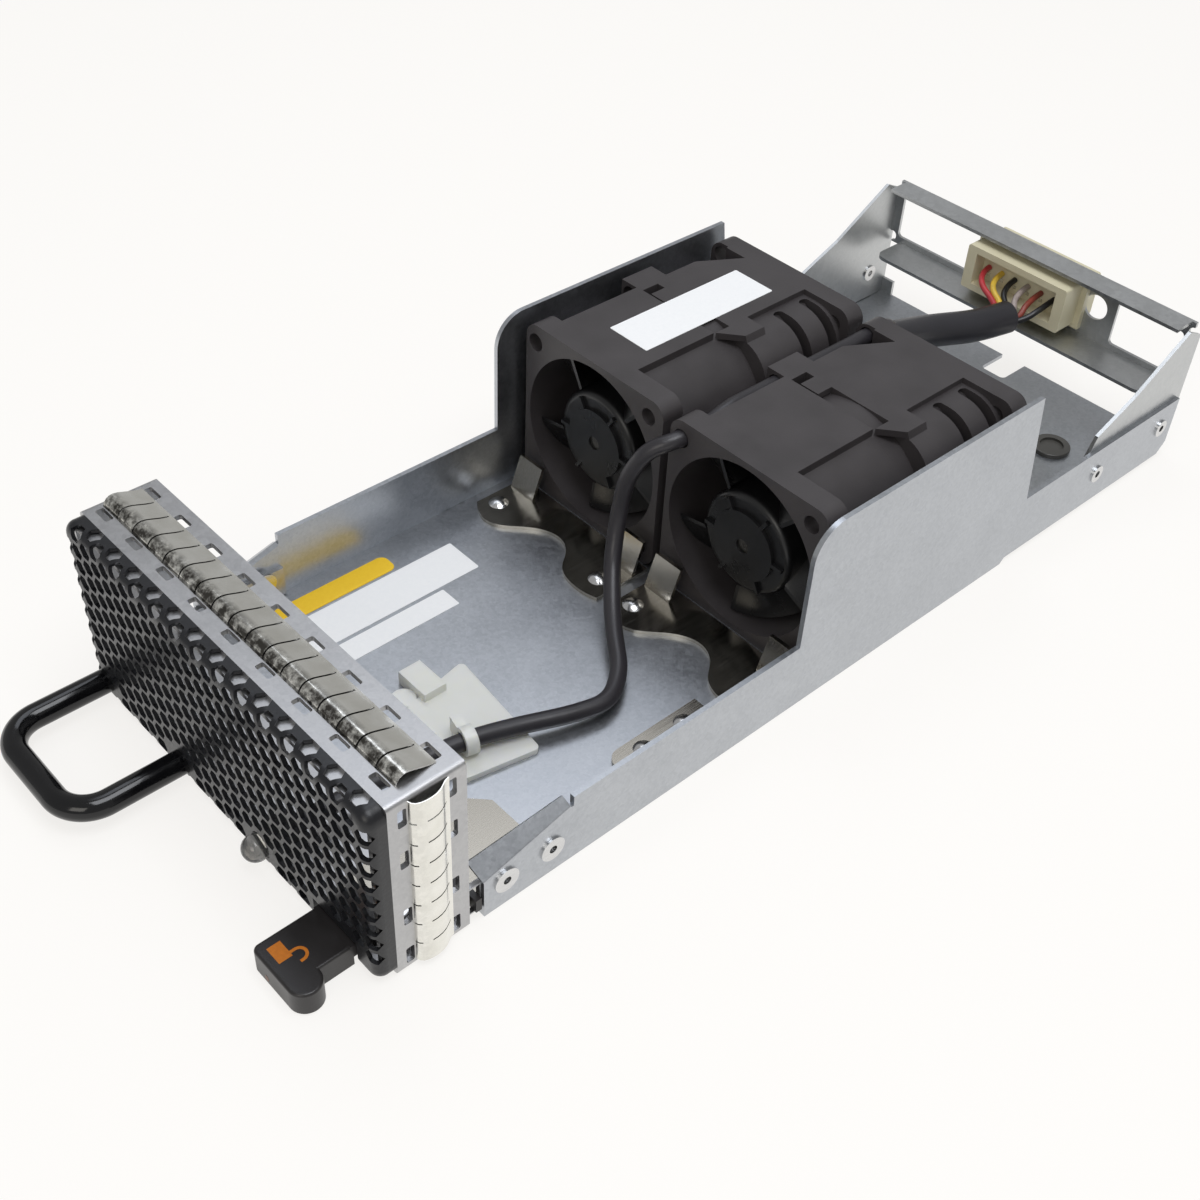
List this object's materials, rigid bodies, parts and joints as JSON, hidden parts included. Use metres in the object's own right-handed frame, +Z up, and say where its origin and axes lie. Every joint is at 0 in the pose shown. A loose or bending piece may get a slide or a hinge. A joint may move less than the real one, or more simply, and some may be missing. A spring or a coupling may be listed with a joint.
{
  "type": "switch fan tray",
  "caption": "Sheet-metal fan tray with counter-rotating fans, a hexagon grille, a bail handle, a lock lever and a rear connector bracket.",
  "frame": {"origin": "on the floor's underside, midway between the side walls and 90 mm behind the bezel's front face", "axes": "+X to the right seen from the front, +Y to the rear, +Z up"},
  "size_m": [0.0895, 0.2514, 0.0422],
  "materials": {
    "zinc_steel": "bright zinc-coated sheet",
    "black_paint": "black powder coat",
    "spring_fingers": "bright plated spring strip",
    "plated_steel": "plated",
    "spring_steel": "dull grey spring steel",
    "black_plastic": "satin moulded",
    "clear_lens": "clear",
    "cream_plastic": "satin",
    "clear_nylon": "translucent nylon",
    "contact_metal": "plated",
    "wire_cover": "coloured wire covers",
    "cable_cover": "black",
    "winding": "enamelled copper",
    "board": "circuit board",
    "label_paper": "blank paper sticker",
    "sign_ink": "printed sign"
  },
  "bodies": {
    "tray": {"tray_base": "zinc_steel", "front_bezel": "zinc_steel", "rear_bracket": "zinc_steel", "face_grille": "black_paint", "handle": "black_paint", "top_gasket": "spring_fingers", "side_gasket": "spring_fingers", "handle_screws": "plated_steel", "front_wall_rivets": "plated_steel", "rear_wall_rivets": "plated_steel", "lever_pivot_pin": "plated_steel", "lever_washer": "plated_steel", "lever_base_plate": "plated_steel", "status_lamp_lens": "clear_lens", "lamp_holder": "black_plastic", "floor_plug": "black_plastic", "rear_connector": "cream_plastic", "connector_contacts": "contact_metal", "connector_wires": "wire_cover", "fan_leads": "wire_cover", "harness_sleeve": "cable_cover", "lamp_cable": "cable_cover", "cable_mount": "clear_nylon", "cable_tie": "clear_nylon", "left_fan_retainer": "spring_steel", "right_fan_retainer": "spring_steel", "floor_strip": "spring_steel", "retainer_rivets": "plated_steel", "strip_rivets": "plated_steel", "left_front_housing": "black_plastic", "left_rear_housing": "black_plastic", "left_fan_bearings": "plated_steel", "left_fan_stators": "winding", "left_fan_control_boards": "board", "right_front_housing": "black_plastic", "right_rear_housing": "black_plastic", "right_fan_bearings": "plated_steel", "right_fan_stators": "winding", "right_fan_control_boards": "board"},
    "lever": {"lock_lever": "black_plastic"},
    "left_front_fan": {"left_front_rotor": "black_plastic", "left_front_shaft": "plated_steel"},
    "left_rear_fan": {"left_rear_rotor": "black_plastic", "left_rear_shaft": "plated_steel"},
    "right_front_fan": {"right_front_rotor": "black_plastic", "right_front_shaft": "plated_steel"},
    "right_rear_fan": {"right_rear_rotor": "black_plastic", "right_rear_shaft": "plated_steel"}
  },
  "joints": [
    {"name": "lever_turn", "type": "hinge", "parent": "tray", "child": "lever", "pos_m": [0.0365, -0.085, 0.0035], "axis": [0, 0, -1], "range_deg": [0, 7]},
    {"name": "left_front_spin", "type": "hinge", "parent": "tray", "child": "left_front_fan", "pos_m": [-0.021, 0.0188, 0.021], "axis": [0, 1, 0], "continuous": true},
    {"name": "left_rear_spin", "type": "hinge", "parent": "tray", "child": "left_rear_fan", "pos_m": [-0.021, 0.0548, 0.021], "axis": [0, 1, 0], "continuous": true},
    {"name": "right_front_spin", "type": "hinge", "parent": "tray", "child": "right_front_fan", "pos_m": [0.021, 0.0188, 0.021], "axis": [0, 1, 0], "continuous": true},
    {"name": "right_rear_spin", "type": "hinge", "parent": "tray", "child": "right_rear_fan", "pos_m": [0.021, 0.0548, 0.021], "axis": [0, 1, 0], "continuous": true}
  ]
}
